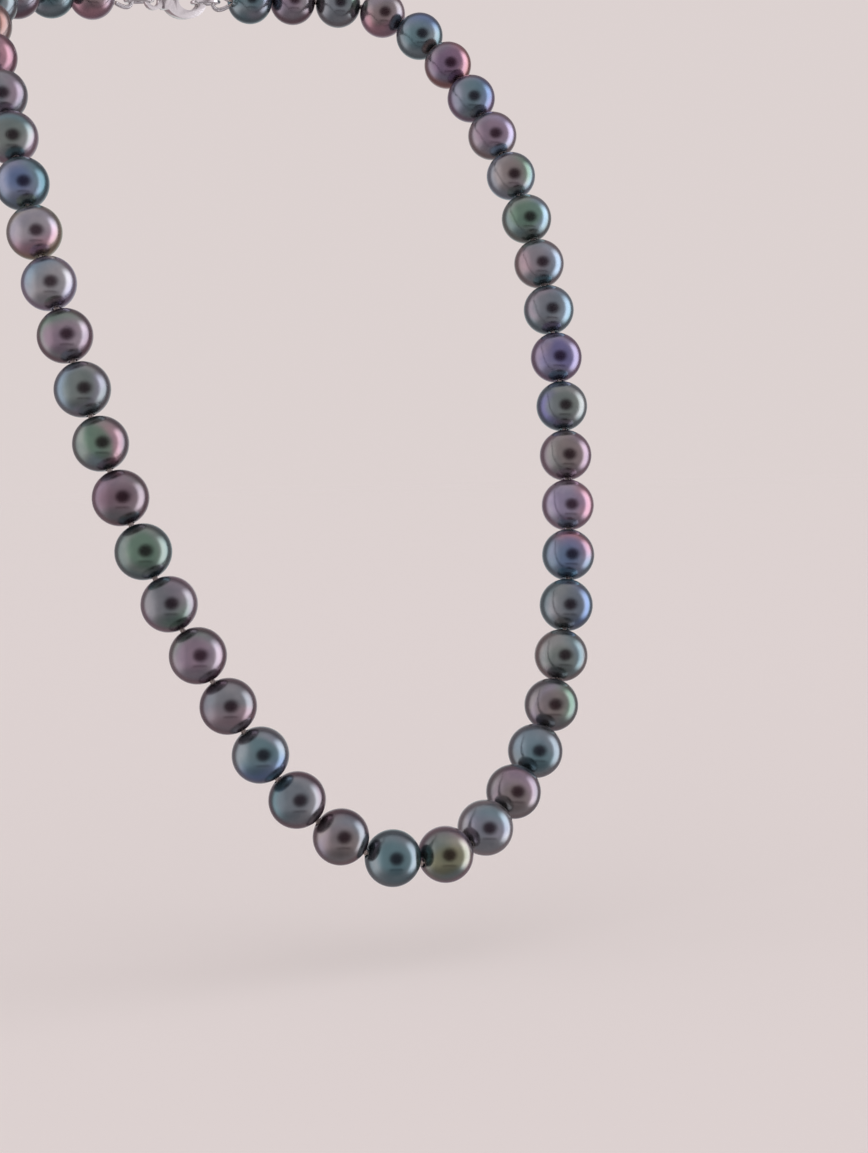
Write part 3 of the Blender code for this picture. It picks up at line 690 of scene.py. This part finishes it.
def coil(path):
    # a helix round a path, point = path + radius (first cos + second sin), and a wire along it
    first = np.tile(np.array([0.0, 1.0, 0.0]), (len(path), 1))   # the loop lies square to y
    second = np.cross(unit(np.gradient(path, axis=0)), first)
    along = runLength(path)
    at = np.linspace(0, along[-1], bullion["turns"] * bullion["steps"])
    spread = [np.stack([np.interp(at, along, row) for row in grid.T], -1)
              for grid in (path, first, second)]
    turn = (2 * np.pi * bullion["turns"] * at / along[-1])[:, None]
    radius = bullion["radius"] - bullion["wire"]
    helix = spread[0] + (spread[1] * np.cos(turn) + spread[2] * np.sin(turn)) * radius
    return sweep(helix, bullion["wire"], bullion["sides"])


def makeBullion(side, outward, pivot, material):
    # the coil over the loop, and the silk inside it, led into the last pearl's mouth
    count, end = bullion["points"], bullion["end"]
    whole = loopPath(pivot, outward, count)
    wire = coil(whole[int(count * end):int(count * (1 - end))])
    finishPiece(joinGrids(f"bullion_{side}_coil", [(wire, False)]), f"bullion_{side}", material)
    middle, axis, _, half = pearlPlaces[f"pearl_{side}_{len(pearlPlaces) // 2:02d}"]
    mouths = (middle - axis * half, middle + axis * half)
    mouth = min(mouths, key=lambda place: np.linalg.norm(place - whole[0]))
    deep = mouth + unit(middle - mouth) * bullion["depth"]
    path = np.concatenate([straight(deep, whole[0])[:-1], whole, straight(whole[-1], deep)[1:]])
    loop = joinGrids("silk_loop_" + side, [(sweep(path, bullion["thread"], bullion["sides"]), False)])
    loop.data.materials.append(silkSkin)
    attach(loop, bodyOf[f"bullion_{side}"])
    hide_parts("silk_thread")


ring = {
    "radius": 0.0024, "wire": 0.0004, "steps": 120, "sides": 20,
    "seam": 90, "cut": 4.0,                              # degrees: where the wire's ends meet, their gap
    "solder": 0.05, "solderWidth": 0.12,                 # how the end ring's seam stands proud
    "burr": 0.03, "endDip": 0.15, "endWidth": 0.02,      # the jump ring's thinner wire and ends
}


def ringPath(node, firstDegrees, lastDegrees, closed):
    # a flat circle where the CAD ring lies: x = radius cos, y = radius sin
    low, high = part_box(node)
    middle, count = np.array((low + high) / 2), ring["steps"]
    angle = np.radians(np.linspace(firstDegrees, lastDegrees, count, endpoint=not closed))
    x, y = middle[0] + ring["radius"] * np.cos(angle), middle[1] + ring["radius"] * np.sin(angle)
    return np.stack([x, y, np.full(count, middle[2])], -1), angle


def makeRings(material):
    # the end ring thickens at its soldered seam, and the jump ring thins at its two cut ends
    seam, half = ring["seam"], ring["cut"] / 2
    path, angle = ringPath("end_ring", 0, 360, True)
    away = np.abs((angle - math.radians(seam) + np.pi) % (2 * np.pi) - np.pi)
    wire = ring["wire"] * (1 - ring["solder"] + ring["solder"] * np.exp(-(away / ring["solderWidth"]) ** 2))
    closed = sweep(path, wire, ring["sides"], True)
    finishPiece(joinGrids("end_ring_wire", [(closed, True)]), "end_ring", material)
    path, angle = ringPath("jump_ring", seam + half, seam + 360 - half, False)
    fromEnd = np.minimum(angle - angle[0], angle[-1] - angle)
    wire = ring["wire"] * (1 - ring["burr"] - ring["endDip"] * np.exp(-(fromEnd / ring["endWidth"]) ** 2))
    split = sweep(path, wire, ring["sides"])
    finishPiece(joinGrids("jump_ring_wire", [(split, False)]), "jump_ring", material)


casting = {
    "merge": 0.00001, "flatAngle": 1, "segments": 3, "angle": 35,
    "edges": {   # how far each piece's edges are rounded
        "clasp_body": 0.00016, "clasp_lever": 0.0001, "lever_pin": 0.00005, "lever_spring": 0.00002},
    "pressed": 0.6,                                      # the spring's height under the pressed lever
}


def makeCasting(node, material):
    # the CAD piece with its corners merged and every sharp edge rounded over
    piece = bpy.data.objects.new(node + "_cast", frame["nodes"][node].data.copy())
    bpy.context.scene.collection.objects.link(piece)
    work = bmesh.new()
    work.from_mesh(piece.data)
    bmesh.ops.remove_doubles(work, verts=work.verts, dist=casting["merge"])
    flat = math.radians(casting["flatAngle"])
    bmesh.ops.dissolve_limit(work, angle_limit=flat, verts=work.verts, edges=work.edges)
    work.to_mesh(piece.data)
    work.free()
    piece.data.polygons.foreach_set("use_smooth", np.full(len(piece.data.polygons), True))
    rounding = piece.modifiers.new("rounding", "BEVEL")
    rounding.width = casting["edges"][node]
    rounding.segments = casting["segments"]
    rounding.limit_method = "ANGLE"
    rounding.angle_limit = math.radians(casting["angle"])
    rounding.harden_normals = True
    finishPiece(piece, node, material)
    return piece


def makeClosing():
    silver = metalMaterial("silver", metal["silver"], metal["silverRoughness"], metal["silverGrain"])
    steel = metalMaterial("spring steel", metal["steel"], metal["steelRoughness"], metal["steelGrain"])
    pivots = {joint["name"]: joint["pos_m"] for joint in frame["joints"]}
    makeBullion("left", -1, pivots["clasp_sag"], silver)
    makeBullion("right", 1, pivots["end_ring_swing"], silver)
    makeRings(silver)
    for node in ("clasp_body", "clasp_lever", "lever_pin"):
        makeCasting(node, silver)
    coiled = makeCasting("lever_spring", steel)
    low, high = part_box("lever_spring")
    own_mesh(coiled)


makeClosing()
print("closing ready")
